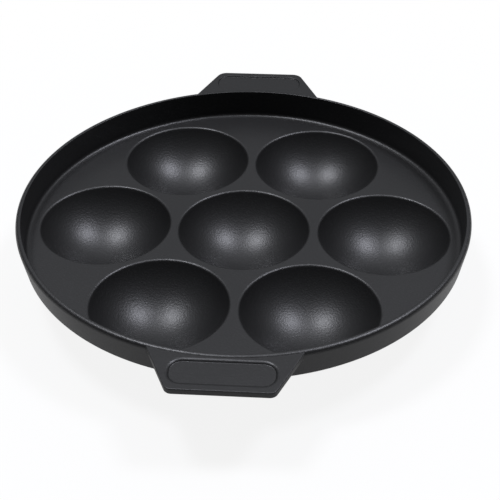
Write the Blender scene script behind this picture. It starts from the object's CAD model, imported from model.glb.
"""Finish of an aebleskiver pan: fine surfaces, a coated casting's finish and a plain studio.

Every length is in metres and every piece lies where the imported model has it: Z is up,
X runs along the row of three cups and Y through the handles. A profile is an array of
(radius, height) points, with its heights counted from the plate's top face.
"""

import math

import bpy
import numpy as np
from mathutils import Matrix, Vector
from mathutils.geometry import delaunay_2d_cdt


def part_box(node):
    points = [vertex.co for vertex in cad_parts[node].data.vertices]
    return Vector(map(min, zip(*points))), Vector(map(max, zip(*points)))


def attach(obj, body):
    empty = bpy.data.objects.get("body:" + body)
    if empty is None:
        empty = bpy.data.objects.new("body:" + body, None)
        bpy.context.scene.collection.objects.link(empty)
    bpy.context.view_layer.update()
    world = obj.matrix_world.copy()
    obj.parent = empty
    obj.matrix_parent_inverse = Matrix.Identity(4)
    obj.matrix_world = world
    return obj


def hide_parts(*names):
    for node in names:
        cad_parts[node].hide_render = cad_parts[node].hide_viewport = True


bl_info = {
    "name": "Aebleskiver pan",
    "version": (1, 0, 0),
    "blender": (4, 5, 0),
    "location": "View3D > Sidebar > Pan",
    "description": "Builds the surfaces and finish of a cast aebleskiver pan",
    "category": "Object",
}

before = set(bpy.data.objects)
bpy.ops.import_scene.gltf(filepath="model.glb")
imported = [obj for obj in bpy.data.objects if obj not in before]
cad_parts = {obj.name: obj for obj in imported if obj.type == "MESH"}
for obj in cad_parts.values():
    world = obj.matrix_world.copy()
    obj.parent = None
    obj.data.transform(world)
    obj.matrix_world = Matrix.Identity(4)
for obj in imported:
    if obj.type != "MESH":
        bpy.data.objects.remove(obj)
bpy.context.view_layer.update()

MILLIMETRE = 0.001
CUP_NODES = sorted(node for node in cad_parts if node.startswith("cup_"))
PLATE_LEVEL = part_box("cup_centre")[1].z
RIM_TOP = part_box("rim_wall")[1].z
RIM_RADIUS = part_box("rim_wall")[1].x
HANDLE_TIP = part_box("handle_back")[1].y
HANDLE_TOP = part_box("handle_back")[1].z

# Fineness of the meshes: points on a circle, and rings along each stretch of a profile
RING_STEPS = 360
CUP_STEPS = 144
BOWL_STEPS = 56
LIP_STEPS = 12
ROOT_STEPS = 10
OUTSIDE_STEPS = 40
FOOT_BLEND_STEPS = 7
FOOT_EDGE_STEPS = 6
FOOT_STEPS = 14
RIM_CORNER_STEPS = 20
HANDLE_SIDE_STEPS = 60
HANDLE_CORNER_STEPS = 14
HANDLE_END_STEPS = 40
UNDERSIDE_STEPS = 20
UNDER_EDGE_STEPS = 8
TOP_EDGE_STEPS = 10
RECESS_STEPS = 9
TOP_FACE_BLENDS = (0.06, 0.35, 0.65, 0.94)  # from the handle's outline to the recess's
SHARP_ANGLE = 40  # degrees between two faces above which their edge stays sharp
SAME_PLACE = 1e-9  # metres within which two points of the plate's sheet are one

# Shares of a setting, and one length
CLOSED_CORNER = 0.01  # of a radius, where a corner stays nearly sharp
JOINT_ROOM = 1.2  # of the bevel's rounding, between the plate's edge and the bevel
LIFT_REACH = 3.0  # of the cup's root radius, over which its lifting fades out
FLAT_START = 1.5  # of the handle's root radius, from the rim to the flat of its underside
RECESS_CORNER_SHARE = 0.45  # of the recess's length, at most, for its corners
ROOT_OVERLAP = 1.9 * MILLIMETRE  # how far a handle reaches into the rim wall

# The coating's noises: their sizes in grains, and how much each gives to tone, gloss and relief
COARSE_GRAIN = 3.2
CLOUD_GRAIN = 60
STREAK_GRAIN = 4
FLECK_START = 0.56  # where a peak of the fine noise starts to be a pale fleck
FLECK_GAIN = 7.0
FLECK_TONE = 0.5
CLOUD_TONE = 0.25
CLOUD_GLOSS = 0.06
FINE_GLOSS = 0.10
FINE_RELIEF = 0.85
COARSE_RELIEF = 0.15
COATING_IOR = 1.54

# The bare feet
FOOT_LEVEL = 0.05 * MILLIMETRE  # the bare flat lies below this height
FOOT_MARGIN = 0.9  # of the rounding of the foot's edge, left coated
METAL_ROUGHNESS = 0.26
STREAK_GLOSS = 0.16

# The studio: directions from the middle of the plate, and how the room's light spreads
LEFT_LAMP = (-0.305, 0.098, 0.954)
RIGHT_LAMP = (0.424, 0.16, 0.897)
BEHIND_POWER = 1.6
UP_POWER = 1.5
FLOOR_REACH = 4.0  # metres from the middle to each side


def length(title, text, millimetres):
    """A length that a user may change, with its default given in millimetres."""
    return bpy.props.FloatProperty(
        name=title,
        description=text,
        default=millimetres * MILLIMETRE,
        unit="LENGTH",
        precision=5,
    )


def colour(title, text, default):
    """A colour that a user may change, in linear light."""
    return bpy.props.FloatVectorProperty(
        name=title, description=text, default=default, subtype="COLOR", size=3, min=0, max=1
    )


def share(title, text, default):
    """A number from 0 to 1 that a user may change."""
    return bpy.props.FloatProperty(
        name=title, description=text, default=default, min=0, max=1, subtype="FACTOR"
    )


def turn(title, text, degrees):
    """An angle that a user may change, with its default given in degrees."""
    return bpy.props.FloatProperty(
        name=title, description=text, default=math.radians(degrees), subtype="ANGLE"
    )


def power(title, text, watts):
    """The power of a lamp that a user may change."""
    return bpy.props.FloatProperty(name=title, description=text, default=watts, unit="POWER")


class CupShape(bpy.types.PropertyGroup):
    """Sizes of one cup."""

    mouth_radius: length("Mouth radius", "Where the bowl would cut the plate's top", 33.7)
    depth: length("Depth", "From the plate's top to the bottom of the bowl", 22.3)
    wall: length("Wall", "Thickness of the casting round the bowl", 2.4)
    lip_radius: length("Lip radius", "Rounding of the bowl's mouth", 1.6)
    collar_land: length("Collar land", "Flat strip round the lip", 0.2)
    root_radius: length("Root radius", "Rounding between the cup and the plate's underside", 2.2)
    foot_radius: length("Foot radius", "Radius of the flat that the cup stands on", 12.0)
    foot_flare: length("Foot flare", "How much wider the foot is at its top", 1.2)
    foot_edge: length("Foot edge", "Rounding of the foot's edge", 0.5)
    foot_blend: length("Foot blend", "Rounding between the foot and the round bottom", 1.0)


class TrayShape(bpy.types.PropertyGroup):
    """Sizes of the plate and the rim wall."""

    plate_thickness: length("Plate thickness", "Thickness of the flat plate", 2.8)
    wall_foot_radius: length("Wall foot radius", "Where the wall's inside would meet the plate", 111.54)
    wall_thickness: length("Wall thickness", "Of the wall at its foot, without the rounding", 1.05)
    floor_radius: length("Floor radius", "Rounding at the wall's foot", 2.0)
    slope_radius: length("Slope radius", "Gentle rounding where the plate starts to rise", 6.0)
    floor_slope: turn("Floor slope", "Steepest rise of the gentle rounding", 17.0)
    inner_edge_radius: length("Inner edge radius", "Rounding of the rim's inner edge", 0.36)
    shoulder_radius: length("Shoulder radius", "Rounding of the rim's outer edge", 2.0)
    skirt_rise: length("Skirt rise", "From the plate's top up to the wall's lower edge", 0.3)
    skirt_edge_radius: length("Skirt edge radius", "Rounding of the wall's lower edge", 2.0)
    bevel_width: length("Bevel width", "Level width of the bevel under the wall", 4.2)
    bevel_edge_radius: length("Bevel edge radius", "Rounding between bevel and underside", 1.0)
    inner_draft: turn("Inner draft", "How far the wall's inside leans outwards", 2.8)
    outer_draft: turn("Outer draft", "How far the wall's outside leans outwards", 10.2)


class HandleShape(bpy.types.PropertyGroup):
    """Sizes of a handle."""

    tip_width: length("Tip width", "Width at the tip, if the sides ran on to it", 46.7)
    side_angle: turn("Side angle", "Between a side and the handle's middle line", 24.0)
    corner_radius: length("Corner radius", "Rounding of the front handle's corners", 3.8)
    back_corner_radius: length("Back corner radius", "Rounding of the back handle's corners", 6.0)
    thickness: length("Thickness", "Thickness of the handle", 3.3)
    top_edge: length("Top edge", "Rounding of the upper edge", 0.5)
    under_edge: length("Under edge", "Rounding of the lower edge", 0.8)
    root_radius: length("Root radius", "Rounding between the underside and the wall", 2.5)
    recess_root_margin: length("Recess root margin", "From the rim to the recess's wall", 0.95)
    recess_tip_margin: length("Recess tip margin", "From the recess's wall to the tip", 4.0)
    recess_side_margin: length("Recess side margin", "From the recess's wall to a side", 4.7)
    recess_corner: length("Recess corner", "Rounding of the recess's corners", 6.5)
    recess_depth: length("Recess depth", "Depth of the front recess", 1.0)
    back_recess_depth: length("Back recess depth", "Depth of the back recess", 0.7)
    recess_edge: length("Recess edge", "Rounding of the front recess's edge", 2.0)
    back_recess_edge: length("Back recess edge", "Rounding of the back recess's edge", 0.4)
    recess_foot: length("Recess foot", "Rounding between the recess's wall and its floor", 0.4)


class PanFinish(bpy.types.PropertyGroup):
    """Colours and textures of the coated casting."""

    coating: colour("Coating", "Dark grey of the coating", (0.0108, 0.0108, 0.0110))
    fleck: colour("Fleck", "Paler grains in the coating", (0.020, 0.020, 0.020))
    gloss_roughness: share("Roughness", "How blurred the coating's reflections are", 0.40)
    grain_size: length("Grain size", "Spacing of the coating's grains", 0.9)
    tray_grain: length("Tray grain", "Height of the grains on the plate and the wall", 0.110)
    cup_grain: length("Cup grain", "Height of the grains in the cups", 0.125)
    handle_grain: length("Handle grain", "Height of the grains on the handles", 0.080)
    bare_metal: colour("Bare metal", "Machined feet", (0.62, 0.62, 0.63))
    groove_pitch: length("Groove pitch", "Spacing of the turned grooves on the feet", 0.4)


class StudioSetup(bpy.types.PropertyGroup):
    """Camera, lamps and background."""

    azimuth: turn("Azimuth", "Turn of the camera round the pan", 4.674)
    elevation: turn("Elevation", "Height of the camera above the plate", 36.62)
    roll: turn("Roll", "Clockwise turn of the camera about its line of sight", 0.564)
    distance: length("Distance", "From the camera to the middle of the plate", 617.8)
    aim_x: length("Aim X", "Where the line of sight meets the plate", 4.49)
    aim_y: length("Aim Y", "Where the line of sight meets the plate", -18.20)
    lens: bpy.props.FloatProperty(
        name="Lens", description="Focal length on a 36 mm frame", default=86.11, unit="CAMERA"
    )
    lamp_distance: length("Lamp distance", "From the pan to each lamp", 3000.0)
    lamp_size: length("Lamp size", "Side of each square lamp", 650.0)
    left_power: power("Left power", "Power of the left lamp", 51.8)
    right_power: power("Right power", "Power of the right lamp", 47.5)
    left_light: colour("Left light", "Colour of the left lamp's light", (0.916, 0.93, 1.0))
    right_light: colour("Right light", "Colour of the right lamp's light", (0.887, 0.90, 1.0))
    floor: colour("Floor", "Colour of the floor", (0.86, 0.86, 0.86))
    shadow: share("Shadow", "How much of the floor's own light and shadow shows", 0.12)
    shadow_reach: length("Shadow reach", "Where the floor starts to turn plain white", 170.0)
    near_floor: share("Near floor", "Brightness of the floor in front, as the pan mirrors it", 0.45)
    floor_fade: length("Floor fade", "How far behind the pan's middle the floor is fully bright", 100.0)
    horizon: colour("Horizon", "Light that comes from the dark side of the room", (0.018,) * 3)
    backdrop: colour("Backdrop", "Light from high up behind the pan", (0.87, 0.89, 0.93))


SETTINGS = {
    "pan_cup": CupShape,
    "pan_tray": TrayShape,
    "pan_handle": HandleShape,
    "pan_finish": PanFinish,
    "pan_studio": StudioSetup,
}


def settings(name):
    """The scene's own copy of one group of settings."""
    return getattr(bpy.context.scene, name)


def arc(centre, radius, start, end, count):
    """Points centre + radius * (cos a, sin a), for count angles a in degrees."""
    angles = np.radians(np.linspace(start, end, count))
    return np.stack(
        [centre[0] + radius * np.cos(angles), centre[1] + radius * np.sin(angles)], axis=1
    )


def line(start, end, count):
    """Evenly spaced points from start to end."""
    steps = np.linspace(0, 1, count)[:, None]
    return np.array(start) * (1 - steps) + np.array(end) * steps


def bend(before, corner, after, count):
    """Points of a parabola that rounds a corner: (1-t)^2 a + 2t(1-t) b + t^2 c."""
    t = np.linspace(0, 1, count)[:, None]
    before, corner, after = np.array(before), np.array(corner), np.array(after)
    return before * (1 - t) ** 2 + corner * 2 * t * (1 - t) + after * t**2


def rounded(points, radii, count):
    """A closed outline whose corners are replaced by arcs of the given radii.

    Each arc's centre lies on the corner's bisector, at radius / sin(half the corner's
    angle), and it starts and ends where it touches the two sides.
    """
    points = np.array(points, float)
    before = np.roll(points, 1, axis=0) - points
    after = np.roll(points, -1, axis=0) - points
    before /= np.linalg.norm(before, axis=1)[:, None]
    after /= np.linalg.norm(after, axis=1)[:, None]
    half = np.arccos(np.clip((before * after).sum(1), -1, 1)) / 2
    bisector = before + after
    bisector /= np.linalg.norm(bisector, axis=1)[:, None]
    radii = np.array(radii, float)
    centres = points + bisector * (radii / np.sin(half))[:, None]
    reach = (radii / np.tan(half))[:, None]
    first = points + before * reach - centres
    last = points + after * reach - centres
    start = np.arctan2(first[:, 1], first[:, 0])
    sweep = np.arctan2(last[:, 1], last[:, 0]) - start
    sweep = (sweep + math.pi) % (2 * math.pi) - math.pi
    angles = start[:, None] + sweep[:, None] * np.linspace(0, 1, count)[None, :]
    ring = np.stack([np.cos(angles), np.sin(angles)], axis=2) * radii[:, None, None]
    return (centres[:, None, :] + ring).reshape(-1, 2)


def grid_faces(rows, columns, close_rows):
    """Quads between neighbouring rows of a grid whose columns run round and close."""
    row = np.arange(rows if close_rows else rows - 1)[:, None]
    column = np.arange(columns)[None, :]
    above, beside = (row + 1) % rows, (column + 1) % columns
    corners = [
        row * columns + column,
        row * columns + beside,
        above * columns + beside,
        above * columns + column,
    ]
    return np.stack([np.broadcast_to(c, (len(row), columns)) for c in corners], 2).reshape(-1, 4)


def signed_volume(points, faces):
    """Volume inside triangle fans of the faces, negative if they point inwards."""
    total = 0.0
    for size in sorted({len(face) for face in faces}):
        corners = points[np.array([face for face in faces if len(face) == size])]
        for k in range(1, size - 1):
            cross = np.cross(corners[:, k], corners[:, k + 1])
            total += float((corners[:, 0] * cross).sum()) / 6
    return total


def make_object(name, points, faces, attributes=()):
    """A smooth closed mesh at the origin, with its faces turned outwards."""
    if signed_volume(points, faces) < 0:
        faces = [list(reversed(face)) for face in faces]
    mesh = bpy.data.meshes.new(name)
    mesh.from_pydata(points.tolist(), [], [list(map(int, face)) for face in faces])
    for title, values in attributes:
        layer = mesh.attributes.new(title, "FLOAT", "POINT")
        layer.data.foreach_set("value", values.astype(np.float32))
    mesh.shade_smooth()
    mesh.set_sharp_from_angle(angle=math.radians(SHARP_ANGLE))
    mesh.validate()
    piece = bpy.data.objects.new(name, mesh)
    bpy.context.scene.collection.objects.link(piece)
    return piece


def circle_angles(count):
    """Evenly spaced angles round a circle, in radians."""
    return np.arange(count) * (2 * math.pi / count)


def spin(profile, count, centre=(0.0, 0.0)):
    """Points (x + r cos a, y + r sin a, level + h) of a profile turned about an axis."""
    angles = circle_angles(count)
    radius, height = profile[:, 0][:, None], profile[:, 1][:, None]
    return np.stack(
        [
            centre[0] + radius * np.cos(angles),
            centre[1] + radius * np.sin(angles),
            np.broadcast_to(PLATE_LEVEL + height, (len(profile), count)),
        ],
        axis=2,
    ).reshape(-1, 3)


def cup_sizes():
    """Sizes that follow from a cup's settings."""
    cup = settings("pan_cup")
    tray = settings("pan_tray")
    bowl = (cup.mouth_radius**2 + cup.depth**2) / (2 * cup.depth)
    centre = bowl - cup.depth
    lip = math.sqrt((bowl + cup.lip_radius) ** 2 - (centre + cup.lip_radius) ** 2)
    outer = bowl + cup.wall
    root_depth = centre + tray.plate_thickness + cup.root_radius
    root = math.sqrt((outer + cup.root_radius) ** 2 - root_depth**2)
    return {"bowl": bowl, "centre": centre, "lip": lip, "outer": outer, "root": root}


def collar_radius():
    """Radius of the hole in the plate that a cup fills."""
    return cup_sizes()["lip"] + settings("pan_cup").collar_land


def cup_profile():
    """Profile of a cup, from the middle of the bowl round the lip to the foot.

    The bowl and the outside are arcs about one centre above the plate. The lip's arc
    touches the bowl and the plate's top face, and the root's arc touches the outside
    and the plate's underside.
    """
    cup, tray, size = settings("pan_cup"), settings("pan_tray"), cup_sizes()
    collar, under = collar_radius(), -tray.plate_thickness
    lip_turn = math.degrees(math.atan2(size["centre"] + cup.lip_radius, size["lip"]))
    root_depth = size["centre"] + tray.plate_thickness + cup.root_radius
    root_turn = math.degrees(math.atan2(root_depth, size["root"]))
    foot_top_radius = cup.foot_radius + cup.foot_flare
    foot_turn = math.degrees(math.acos((foot_top_radius + cup.foot_blend) / size["outer"]))
    foot_top = size["centre"] - math.sqrt(size["outer"] ** 2 - foot_top_radius**2)
    foot_top_point = np.array([foot_top_radius, foot_top])
    foot_corner = np.array([cup.foot_radius, -PLATE_LEVEL])
    foot_side = foot_corner - foot_top_point
    foot_side /= np.linalg.norm(foot_side)
    axis = (0.0, size["centre"])
    buried = under + cup.collar_land
    outside = arc(axis, size["outer"], -root_turn, -foot_turn, OUTSIDE_STEPS)
    lip_centre = (size["lip"], -cup.lip_radius)
    root_centre = (size["root"], under - cup.root_radius)
    blend_end = foot_top_point + foot_side * cup.foot_blend
    edge_start = foot_corner - foot_side * cup.foot_edge
    edge_end = foot_corner - (cup.foot_edge, 0.0)
    flat_start = foot_corner - (2 * cup.foot_edge, 0.0)
    return np.concatenate(
        [
            arc(axis, size["bowl"], -90, -lip_turn, BOWL_STEPS)[1:],
            arc(lip_centre, cup.lip_radius, 180 - lip_turn, 90, LIP_STEPS)[1:],
            [(collar, 0.0), (collar, buried), (size["root"], buried)],
            arc(root_centre, cup.root_radius, 90, 180 - root_turn, ROOT_STEPS),
            outside[1:],
            bend(outside[-1], foot_top_point, blend_end, FOOT_BLEND_STEPS)[1:],
            bend(edge_start, foot_corner, edge_end, FOOT_EDGE_STEPS),
            line(flat_start, (0.0, -PLATE_LEVEL), FOOT_STEPS)[:-1],
        ]
    )


def follow_bevel(points):
    """Lifts what would hang below the bevel under the rim wall up to its surface.

    The bevel rises by the share (R - start) / width of its height at a distance R from
    the pan's axis. Only points close under the plate are lifted.
    """
    tray = settings("pan_tray")
    start, end = bevel_span()
    reach = np.hypot(points[:, 0], points[:, 1])
    rise = (tray.plate_thickness + tray.skirt_rise) * np.clip((reach - start) / (end - start), 0, 1)
    depth = PLATE_LEVEL - tray.plate_thickness - points[:, 2]
    fade = np.clip(1 - depth / (LIFT_REACH * settings("pan_cup").root_radius), 0, 1)
    near_plate = depth > -tray.plate_thickness / 2
    points[:, 2] += np.where(near_plate, rise * fade, 0)
    return points


def bevel_span():
    """Distances from the axis at which the bevel starts and ends."""
    tray = settings("pan_tray")
    end = wall_radius() + tray.skirt_rise * math.tan(tray.outer_draft)
    return end - tray.bevel_width, end


def wall_radius():
    """Radius of the wall's outside at the height of the plate's top face."""
    return settings("pan_tray").wall_foot_radius + settings("pan_tray").wall_thickness


def build_cup(node):
    """One cup: its profile turned about the cup's own axis, closed at both poles."""
    low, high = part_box(node)
    centre = ((low.x + high.x) / 2, (low.y + high.y) / 2)
    profile = cup_profile()
    points = follow_bevel(spin(profile, CUP_STEPS, centre))
    rows = len(profile)
    poles = np.array(
        [
            (*centre, PLATE_LEVEL - settings("pan_cup").depth),
            (*centre, 0.0),
        ]
    )
    ring = np.arange(CUP_STEPS)
    beside = (ring + 1) % CUP_STEPS
    top, bottom = rows * CUP_STEPS, rows * CUP_STEPS + 1
    last = (rows - 1) * CUP_STEPS
    faces = grid_faces(rows, CUP_STEPS, close_rows=False).tolist()
    faces += np.stack([beside, ring, np.full(CUP_STEPS, top)], axis=1).tolist()
    faces += np.stack([last + ring, last + beside, np.full(CUP_STEPS, bottom)], axis=1).tolist()
    from_axis = np.concatenate([np.repeat(profile[:, 0], CUP_STEPS), [0.0, 0.0]])
    piece = make_object(
        f"coated_{node}",
        np.concatenate([points, poles]),
        faces,
        [("from_axis", from_axis)],
    )
    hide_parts(node)
    return piece


def joint_radius():
    """Where the plate ends and the wall begins: just inside the bevel's rounding.

    The rounding starts r tan(a / 2) before the bevel, where a is the bevel's angle.
    """
    tray = settings("pan_tray")
    start, end = bevel_span()
    angle = math.atan2(tray.plate_thickness + tray.skirt_rise, end - start)
    return start - JOINT_ROOM * tray.bevel_edge_radius * math.tan(angle / 2)


def rim_profile():
    """Closed profile of the rim wall: floor rounding, inside, rim, outside and bevel.

    The floor rises in a gentle arc and then in a tight one. Along the slope between them,
    the corners of the two lie R1 tan(s / 2) + R2 tan((w - s) / 2) apart, where s is the
    slope's angle and w the wall's.
    """
    tray = settings("pan_tray")
    height, under = RIM_TOP - PLATE_LEVEL, -tray.plate_thickness
    top_inside = tray.wall_foot_radius + height * math.tan(tray.inner_draft)
    top_outside = wall_radius() + height * math.tan(tray.outer_draft)
    bevel_start, bevel_end = bevel_span()
    start, tiny = joint_radius(), tray.inner_edge_radius * CLOSED_CORNER
    slope = tray.floor_slope
    upright = math.pi / 2 - tray.inner_draft
    run = tray.slope_radius * math.tan(slope / 2)
    run += tray.floor_radius * math.tan((upright - slope) / 2) + tiny
    rise = run * math.sin(slope)
    foot = tray.wall_foot_radius + rise / math.tan(upright)
    corners = [
        (start, under),
        (start, 0.0),
        (foot - run * math.cos(slope), 0.0),
        (foot, rise),
        (top_inside, height),
        (top_outside, height),
        (bevel_end, tray.skirt_rise),
        (bevel_start, under),
    ]
    radii = [
        tiny,
        tiny,
        tray.slope_radius,
        tray.floor_radius,
        tray.inner_edge_radius,
        tray.shoulder_radius,
        tray.skirt_edge_radius,
        tray.bevel_edge_radius,
    ]
    loop = rounded(corners, radii, RIM_CORNER_STEPS)
    return spread(loop, MILLIMETRE)


def spread(loop, step):
    """Adds points to the long sides of a closed outline, one for about each step."""
    ends = np.roll(loop, -1, axis=0)
    counts = np.maximum(1, np.ceil(np.linalg.norm(ends - loop, axis=1) / step)).astype(int)
    index = np.repeat(np.arange(len(loop)), counts)
    first = np.repeat(np.cumsum(counts) - counts, counts)
    part = ((np.arange(counts.sum()) - first) / np.repeat(counts, counts))[:, None]
    return loop[index] * (1 - part) + ends[index] * part


def build_rim_wall():
    """The rim wall: its closed profile turned about the pan's axis."""
    profile = rim_profile()
    points = spin(profile, RING_STEPS)
    faces = grid_faces(len(profile), RING_STEPS, close_rows=True).tolist()
    piece = make_object("coated_rim_wall", points, faces)
    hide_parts("rim_wall")
    return piece


def build_plate():
    """The flat plate with its holes.

    Circles for the edge and the holes are joined by triangles with no slivers across a
    hole, and the sheet so made is given its thickness.
    """
    collar, edge = collar_radius(), joint_radius()
    centres = np.array([(sum(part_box(n), Vector()) / 2)[:2] for n in CUP_NODES])
    hole_angles, edge_angles = circle_angles(CUP_STEPS), circle_angles(RING_STEPS)
    hole = np.stack([np.cos(hole_angles), np.sin(hole_angles)], axis=1) * collar
    rings = [np.stack([np.cos(edge_angles), np.sin(edge_angles)], axis=1) * edge]
    rings += [hole + centre for centre in centres]
    outline = np.concatenate(rings)
    starts = np.cumsum([0] + [len(ring) for ring in rings[:-1]])
    sides = np.concatenate(
        [
            np.stack([start + np.arange(len(ring)), start + np.roll(np.arange(len(ring)), -1)], 1)
            for start, ring in zip(starts, rings)
        ]
    )
    vectors = [Vector(point) for point in outline.tolist()]
    sheet = delaunay_2d_cdt(vectors, sides.tolist(), [], 0, SAME_PLACE)
    flat, triangles = np.array(sheet[0]), np.array(sheet[2])
    middles = flat[triangles].mean(axis=1)
    hole_reach = collar * math.cos(math.pi / CUP_STEPS)
    gaps = np.linalg.norm(middles[:, None, :] - centres[None, :, :], axis=2).min(axis=1)
    inside = (gaps > hole_reach) & (np.linalg.norm(middles, axis=1) < edge)
    triangles = triangles[inside]
    thickness = settings("pan_tray").plate_thickness
    count = len(flat)
    points = np.concatenate(
        [
            np.column_stack([flat, np.full(count, PLATE_LEVEL)]),
            np.column_stack([flat, np.full(count, PLATE_LEVEL - thickness)]),
        ]
    )
    walls = np.column_stack([sides, sides[:, ::-1] + count])[:, [1, 0, 3, 2]]
    faces = triangles.tolist() + (triangles[:, ::-1] + count).tolist() + walls.tolist()
    piece = make_object("coated_plate", points, faces)
    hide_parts("plate")
    return piece


def handle_half_width(distance):
    """Half of a handle's width at a distance from the pan's axis."""
    handle = settings("pan_handle")
    return handle.tip_width / 2 + (HANDLE_TIP - distance) * math.tan(handle.side_angle)


def joined(left_side, left_corner, end, right_corner, right_side, root):
    """One clockwise outline from its six stretches, with no place held twice."""
    stretches = (left_side, left_corner, end, right_corner, right_side, root)
    return np.concatenate([stretch[:-1] for stretch in stretches])


def handle_ring(inset, root, corner_radius):
    """A handle's plan with its edges moved inwards, ending on a circle inside the wall.

    A side is the line x cos a + y sin a = K - inset, where a is its angle to the middle
    line, and it meets the root's circle of radius r at
    (K - inset) (cos a, sin a) - sqrt(r^2 - (K - inset)^2) (sin a, -cos a).
    """
    handle = settings("pan_handle")
    cosine, sine = math.cos(handle.side_angle), math.sin(handle.side_angle)
    side = handle.tip_width / 2 * cosine + HANDLE_TIP * sine - inset
    along = math.sqrt(root**2 - side**2)
    start = np.array([side * cosine - along * sine, side * sine + along * cosine])
    corner = max(corner_radius - inset, corner_radius * CLOSED_CORNER)
    far = HANDLE_TIP - inset - corner
    centre = np.array([(side - corner - far * sine) / cosine, far])
    degrees = math.degrees(handle.side_angle)
    turned = arc(centre, corner, 90, degrees, HANDLE_CORNER_STEPS)
    mirror = np.array([-1.0, 1.0])
    right_side = line(turned[-1], start, HANDLE_SIDE_STEPS)
    opening = math.degrees(math.atan2(start[1], start[0]))
    count = HANDLE_END_STEPS + 2 * HANDLE_CORNER_STEPS - 2
    return joined(
        right_side[::-1] * mirror,
        turned[::-1] * mirror,
        line(turned[0] * mirror, turned[0], HANDLE_END_STEPS),
        turned,
        right_side,
        arc((0.0, 0.0), root, opening, 180 - opening, count),
    )


def recess_ring(inset):
    """Outline of a handle's recess, moved inwards, with the handle's numbers of points."""
    handle = settings("pan_handle")
    near = RIM_RADIUS + handle.recess_root_margin
    far = HANDLE_TIP - handle.recess_tip_margin
    half = handle_half_width((near + far) / 2) - handle.recess_side_margin - inset
    corner = min(handle.recess_corner, (far - near) * RECESS_CORNER_SHARE) - inset
    near, far = near + inset, far - inset
    tip_corner = arc((half - corner, far - corner), corner, 90, 0, HANDLE_CORNER_STEPS)
    root_corner = arc((half - corner, near + corner), corner, 0, -90, HANDLE_CORNER_STEPS)
    mirror = np.array([-1.0, 1.0])
    right_side = line(tip_corner[-1], root_corner[0], HANDLE_SIDE_STEPS)
    root = np.concatenate(
        [
            root_corner,
            line(root_corner[-1], root_corner[-1] * mirror, HANDLE_END_STEPS)[1:-1],
            root_corner[::-1] * mirror,
        ]
    )
    return joined(
        right_side[::-1] * mirror,
        tip_corner[::-1] * mirror,
        line(tip_corner[0] * mirror, tip_corner[0], HANDLE_END_STEPS),
        tip_corner,
        right_side,
        root,
    )


def quarter(start, end, count):
    """Sines and cosines of count angles between two angles in degrees."""
    angles = np.radians(np.linspace(start, end, count))
    return list(zip(np.sin(angles).tolist(), np.cos(angles).tolist()))


def root_drop(plan):
    """How far the rounding under a handle hangs below its underside.

    With its centre at a distance e from the wall it is r - sqrt(r^2 - (e - d)^2) at a
    distance d, and e is r / tan of half the angle between the underside and the wall.
    """
    handle, tray = settings("pan_handle"), settings("pan_tray")
    radius = handle.root_radius
    level = HANDLE_TOP - handle.thickness - PLATE_LEVEL
    wall = wall_radius() + level * math.tan(tray.outer_draft)
    reach = radius / math.tan((math.pi / 2 + tray.outer_draft) / 2)
    widest = reach * (1 + math.sin(tray.outer_draft))
    span = np.clip(reach - (np.linalg.norm(plan, axis=-1) - wall), 0, widest)
    return radius - np.sqrt(radius**2 - span**2)


def build_handle(node):
    """A handle: rings that run from its underside round the edge into the recess.

    A ring is an outline moved inwards by a distance, or a blend of two outlines, at a
    height below the top face. The rings of the upper and lower edge follow quarters of
    circles. The recess's wall is an arc outwards and then one inwards, both of the angle
    whose cosine is 1 - depth / (sum of the two radii).
    """
    handle = settings("pan_handle")
    thickness, top_edge, under_edge = handle.thickness, handle.top_edge, handle.under_edge
    root = RIM_RADIUS - ROOT_OVERLAP
    back = node == "handle_back"
    edge = handle.back_recess_edge if back else handle.recess_edge
    foot = handle.recess_foot
    depth = handle.back_recess_depth if back else handle.recess_depth
    corner = handle.back_corner_radius if back else handle.corner_radius
    flat_root = RIM_RADIUS + FLAT_START * handle.root_radius
    flat = handle_ring(handle.recess_tip_margin, flat_root, corner)
    rim = handle_ring(under_edge, root, corner)
    parts = np.linspace(0, 1, UNDERSIDE_STEPS)[:-1]
    rings = [(flat * (1 - part) + rim * part, -thickness) for part in parts]
    for sine, cosine in quarter(-90, 0, UNDER_EDGE_STEPS):
        height = under_edge * (1 + sine) - thickness
        rings.append((handle_ring(under_edge * (1 - cosine), root, corner), height))
    outside = len(rings)
    for sine, cosine in quarter(0, 90, TOP_EDGE_STEPS):
        ring = handle_ring(top_edge * (1 - cosine), root, corner)
        rings.append((ring, top_edge * (sine - 1)))
    slope = math.acos(1 - depth / (edge + foot))
    reach = (edge + foot) * math.sin(slope) / 2
    inner, outer = handle_ring(top_edge, root, corner), recess_ring(-reach)
    rings += [(inner * (1 - part) + outer * part, 0.0) for part in TOP_FACE_BLENDS]
    for sine, cosine in quarter(0, math.degrees(slope), RECESS_STEPS):
        rings.append((recess_ring(edge * sine - reach), edge * (cosine - 1)))
    for sine, cosine in quarter(math.degrees(slope), 0, RECESS_STEPS)[1:]:
        rings.append((recess_ring(reach - foot * sine), foot * (1 - cosine) - depth))
    rings.append((recess_ring(reach + foot), -depth))
    plan = np.stack([ring for ring, _ in rings])
    height = np.array([height for _, height in rings])[:, None]
    low = np.where(np.arange(len(rings)) < outside, 1.0, 0.0)[:, None] * -height / thickness
    height = height - root_drop(plan) * low
    side = 1 if back else -1
    points = np.concatenate([side * plan, (HANDLE_TOP + height)[:, :, None]], axis=2)
    points = points.reshape(-1, 3)
    columns = plan.shape[1]
    faces = grid_faces(len(rings), columns, close_rows=False).tolist()
    faces.append(list(range(columns))[::-1])
    last = (len(rings) - 1) * columns
    faces.append(list(range(last, last + columns)))
    piece = make_object(f"coated_{node}", points, faces)
    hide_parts(node)
    return piece


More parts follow.
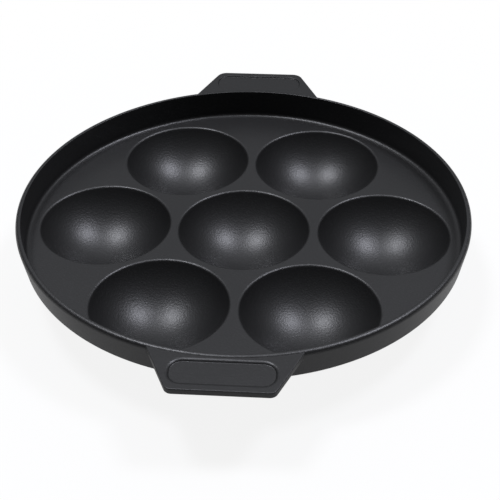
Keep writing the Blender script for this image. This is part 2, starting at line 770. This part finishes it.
class Wire:
    """A socket's value in a node tree. Arithmetic on it adds Math nodes."""

    def __init__(self, tree, socket):
        self.tree = tree
        self.socket = socket

    def math(self, operation, *values):
        """A Math node of the given kind, with this value first."""
        inputs = {0: self, **dict(enumerate(values, 1))}
        return self.tree.node("ShaderNodeMath", {"operation": operation}, inputs)

    def __add__(self, other):
        return self.math("ADD", other)

    __radd__ = __add__

    def __mul__(self, other):
        return self.math("MULTIPLY", other)

    __rmul__ = __mul__

    def __sub__(self, other):
        return self.math("SUBTRACT", other)

    def __rsub__(self, other):
        return self.math("MULTIPLY", -1.0).math("ADD", other)

    def __lt__(self, other):
        return self.math("LESS_THAN", other)


class Tree:
    """A node tree that is filled by calls."""

    def __init__(self, owner):
        owner.use_nodes = True
        self.nodes = owner.node_tree.nodes
        self.links = owner.node_tree.links
        self.nodes.clear()

    def put(self, socket, value):
        """Sets a socket to a number or a colour, or links a wire to it."""
        if isinstance(value, Wire):
            self.links.new(value.socket, socket)
        elif hasattr(value, "__len__") and socket.type == "RGBA":
            socket.default_value = (*value[:3], 1.0)
        else:
            socket.default_value = value

    def node(self, kind, choices=None, inputs=None, output=0):
        """Adds a node, sets its choices and then its sockets, and gives one output."""
        node = self.nodes.new(kind)
        for name, value in (choices or {}).items():
            setattr(node, name, value)
        for name, value in (inputs or {}).items():
            self.put(node.inputs[name], value)
        if not node.outputs:
            return None
        return Wire(self, node.outputs[output])

    def blend(self, mask, first, second):
        """The first colour where the mask is 0 and the second where it is 1."""
        choices = {"data_type": "RGBA", "clamp_factor": True}
        return self.node("ShaderNodeMix", choices, {0: mask, 6: first, 7: second}, output=2)

    def noise(self, place, size, detail, roughness=0.5):
        """Noise with features of about the given size, from 0 to 1."""
        inputs = {"Vector": place, "Scale": 1 / size, "Detail": detail, "Roughness": roughness}
        return self.node("ShaderNodeTexNoise", {}, inputs)


def coating_material(name, grain_height, with_foot=False):
    """Dark matt non-stick coating: blurred gloss, a fine grain and slight mottling.

    A fleck grows from 0 to 1 with (fine noise - start) gain. With a foot, the flat that
    the cup stands on is bare turned metal, with grooves of the height sin(2 pi r / pitch).
    """
    finish = settings("pan_finish")
    material = bpy.data.materials.new(name)
    tree = Tree(material)
    place = tree.node("ShaderNodeTexCoord", output=3)
    fine = tree.noise(place, finish.grain_size, 2.0, 0.6)
    coarse = tree.noise(place, finish.grain_size * COARSE_GRAIN, 2.0)
    cloud = tree.noise(place, finish.grain_size * CLOUD_GRAIN, 3.0)
    fleck = ((fine - FLECK_START) * FLECK_GAIN).math("MAXIMUM", 0.0).math("MINIMUM", 1.0)
    tone = tree.blend(fleck * FLECK_TONE + cloud * CLOUD_TONE, finish.coating, finish.fleck)
    roughness = finish.gloss_roughness + (cloud - 0.5) * CLOUD_GLOSS + (fine - 0.5) * FINE_GLOSS
    relief = fine * FINE_RELIEF + coarse * COARSE_RELIEF
    metallic, height = 0.0, relief
    if with_foot:
        around = tree.node("ShaderNodeAttribute", {"attribute_name": "from_axis"}, output=2)
        low = tree.node("ShaderNodeSeparateXYZ", {}, {0: place}, output=2)
        cup = settings("pan_cup")
        bare = (low < FOOT_LEVEL) * (around < cup.foot_radius - FOOT_MARGIN * cup.foot_edge)
        grooves = (around * (2 * math.pi / finish.groove_pitch)).math("SINE") * 0.5 + 0.5
        streak = tree.noise(place, finish.grain_size * STREAK_GRAIN, 2.0)
        tone = tree.blend(bare, tone, finish.bare_metal)
        roughness = roughness * (1 - bare) + bare * (METAL_ROUGHNESS + streak * STREAK_GLOSS)
        metallic = bare
        height = relief * (1 - bare) + grooves * bare * 0.5
    bump = tree.node(
        "ShaderNodeBump", {}, {"Strength": 1.0, "Distance": grain_height, "Height": height}
    )
    surface = tree.node(
        "ShaderNodeBsdfPrincipled",
        {},
        {
            "Base Color": tone,
            "Roughness": roughness,
            "Metallic": metallic,
            "IOR": COATING_IOR,
            "Normal": bump,
        },
    )
    tree.node("ShaderNodeOutputMaterial", {}, {"Surface": surface})
    return material


def seen_directly(tree):
    """1 for what the camera sees, itself or in a shiny or clear surface, and else 0."""
    sight = tree.node("ShaderNodeLightPath", output=0)
    glossy = Wire(tree, sight.socket.node.outputs["Is Glossy Ray"])
    through = Wire(tree, sight.socket.node.outputs["Is Transmission Ray"])
    return sight.math("MAXIMUM", glossy).math("MAXIMUM", through)


def floor_material():
    """White floor that keeps a little of the pan's shadow."""
    studio = settings("pan_studio")
    material = bpy.data.materials.new("pale_floor")
    tree = Tree(material)
    lit = tree.node("ShaderNodeBsdfDiffuse", {}, {"Color": studio.floor})
    place = tree.node("ShaderNodeTexCoord", output=3)
    across = tree.node("ShaderNodeSeparateXYZ", {}, {0: place}, output=1)
    fade = across * (0.5 / studio.floor_fade) + 0.5
    mirrored = tree.blend(fade, (studio.near_floor,) * 3, (1.0, 1.0, 1.0))
    camera = tree.node("ShaderNodeLightPath", output=0)
    tone = tree.blend(camera, mirrored, (1.0, 1.0, 1.0))
    white = tree.node("ShaderNodeEmission", {}, {"Color": tone, "Strength": 1.0})
    away = tree.node("ShaderNodeVectorMath", {"operation": "LENGTH"}, {0: place}, output=1)
    near = (2 - away * (1 / studio.shadow_reach)).math("MAXIMUM", 0.0).math("MINIMUM", 1.0)
    shown = seen_directly(tree) * (1 - near * studio.shadow)
    surface = tree.node("ShaderNodeMixShader", {}, {0: shown, 1: lit, 2: white})
    tree.node("ShaderNodeOutputMaterial", {}, {"Surface": surface})
    return material


def build_floor():
    """A wide level floor under the feet."""
    corners = [(-1, -1, 0), (1, -1, 0), (1, 1, 0), (-1, 1, 0)]
    points = np.array(corners, float) * FLOOR_REACH
    mesh = bpy.data.meshes.new("floor")
    mesh.from_pydata(points.tolist(), [], [(0, 1, 2, 3)])
    floor = bpy.data.objects.new("floor", mesh)
    bpy.context.scene.collection.objects.link(floor)
    floor.data.materials.append(floor_material())


def build_world():
    """White to the camera. Elsewhere a room that is palest high up behind the pan.

    Its light grows with powers of y / 2 + 1/2 and of z, where y points to the back and
    z up.
    """
    studio = settings("pan_studio")
    world = bpy.data.worlds.new("studio")
    bpy.context.scene.world = world
    tree = Tree(world)
    direction = tree.node("ShaderNodeTexCoord", output=0)
    back = tree.node("ShaderNodeSeparateXYZ", {}, {0: direction}, output=1)
    up = Wire(tree, back.socket.node.outputs[2]).math("MAXIMUM", 0.0)
    behind = (back * 0.5 + 0.5).math("POWER", BEHIND_POWER) * up.math("POWER", UP_POWER)
    room = tree.blend(behind, studio.horizon, studio.backdrop)
    camera = tree.node("ShaderNodeLightPath", output=0)
    tone = tree.blend(camera, room, (1.0, 1.0, 1.0))
    background = tree.node("ShaderNodeBackground", {}, {"Color": tone, "Strength": 1.0})
    tree.node("ShaderNodeOutputWorld", {}, {"Surface": background})


def build_lamp(name, direction, watts, light):
    """A square soft lamp that faces the middle of the plate from the given direction."""
    studio = settings("pan_studio")
    data = bpy.data.lights.new(name, "AREA")
    data.shape = "SQUARE"
    data.size = studio.lamp_size
    data.energy = watts
    data.color = light
    lamp = bpy.data.objects.new(name, data)
    towards = Vector(direction).normalized()
    lamp.location = Vector((0, 0, PLATE_LEVEL)) + towards * studio.lamp_distance
    lamp.rotation_euler = towards.to_track_quat("Z", "Y").to_euler()
    bpy.context.scene.collection.objects.link(lamp)


def build_camera():
    """Camera at its azimuth, elevation and distance, aimed at a point on the plate."""
    studio = settings("pan_studio")
    level = math.cos(studio.elevation)
    back = Vector(
        (
            math.sin(studio.azimuth) * level,
            -math.cos(studio.azimuth) * level,
            math.sin(studio.elevation),
        )
    )
    place = Vector((0, 0, PLATE_LEVEL)) + back * studio.distance
    sight = Vector((studio.aim_x, studio.aim_y, PLATE_LEVEL)) - place
    data = bpy.data.cameras.new("camera")
    data.lens = studio.lens
    camera = bpy.data.objects.new("camera", data)
    turned = sight.to_track_quat("-Z", "Y").to_matrix().to_4x4()
    camera.matrix_world = Matrix.Translation(place) @ turned @ Matrix.Rotation(-studio.roll, 4, "Z")
    bpy.context.scene.collection.objects.link(camera)
    bpy.context.scene.camera = camera


def finish_piece(piece, material):
    """Gives a piece its material and its place in the record."""
    piece.data.materials.append(material)
    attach(piece, "root")


class PAN_OT_tray(bpy.types.Operator):
    """Builds the plate and the rim wall"""

    bl_idname = "pan.tray"
    bl_label = "Plate and rim wall"

    def execute(self, context):
        material = coating_material("tray_coating", context.scene.pan_finish.tray_grain)
        finish_piece(build_plate(), material)
        finish_piece(build_rim_wall(), material)
        return {"FINISHED"}


class PAN_OT_cups(bpy.types.Operator):
    """Builds the cups"""

    bl_idname = "pan.cups"
    bl_label = "Cups"

    def execute(self, context):
        grain = context.scene.pan_finish.cup_grain
        material = coating_material("cup_coating", grain, with_foot=True)
        for node in CUP_NODES:
            finish_piece(build_cup(node), material)
        return {"FINISHED"}


class PAN_OT_handles(bpy.types.Operator):
    """Builds the two handles"""

    bl_idname = "pan.handles"
    bl_label = "Handles"

    def execute(self, context):
        material = coating_material("handle_coating", context.scene.pan_finish.handle_grain)
        for node in ("handle_front", "handle_back"):
            finish_piece(build_handle(node), material)
        return {"FINISHED"}


class PAN_OT_stage(bpy.types.Operator):
    """Sets up the floor, the room, the lamps and the camera"""

    bl_idname = "pan.stage"
    bl_label = "Stage"

    def execute(self, context):
        build_floor()
        build_world()
        studio = context.scene.pan_studio
        build_lamp("left_lamp", LEFT_LAMP, studio.left_power, studio.left_light)
        build_lamp("right_lamp", RIGHT_LAMP, studio.right_power, studio.right_light)
        build_camera()
        context.scene.view_settings.view_transform = "Standard"
        return {"FINISHED"}


class PAN_PT_panel(bpy.types.Panel):
    """Lists the steps and the settings"""

    bl_idname = "PAN_PT_panel"
    bl_label = "Aebleskiver pan"
    bl_space_type = "VIEW_3D"
    bl_region_type = "UI"
    bl_category = "Pan"

    def draw(self, context):
        for operator in OPERATORS:
            self.layout.operator(operator.bl_idname)
        for name, group in SETTINGS.items():
            box = self.layout.box()
            for title in group.__annotations__:
                box.prop(getattr(context.scene, name), title)


OPERATORS = (PAN_OT_tray, PAN_OT_cups, PAN_OT_handles, PAN_OT_stage)


def register():
    """Registers the settings, the operators and the panel."""
    for part in (*SETTINGS.values(), *OPERATORS, PAN_PT_panel):
        bpy.utils.register_class(part)
    for name, group in SETTINGS.items():
        setattr(bpy.types.Scene, name, bpy.props.PointerProperty(type=group))


def unregister():
    """Takes back what register did."""
    for name in SETTINGS:
        delattr(bpy.types.Scene, name)
    for part in (PAN_PT_panel, *OPERATORS, *SETTINGS.values()):
        bpy.utils.unregister_class(part)


def main():
    """Builds everything in order and notes the sizes of both models."""
    register()
    bpy.ops.pan.tray()
    bpy.ops.pan.cups()
    bpy.ops.pan.handles()
    bpy.ops.pan.stage()


if __name__ == "__main__":
    main()
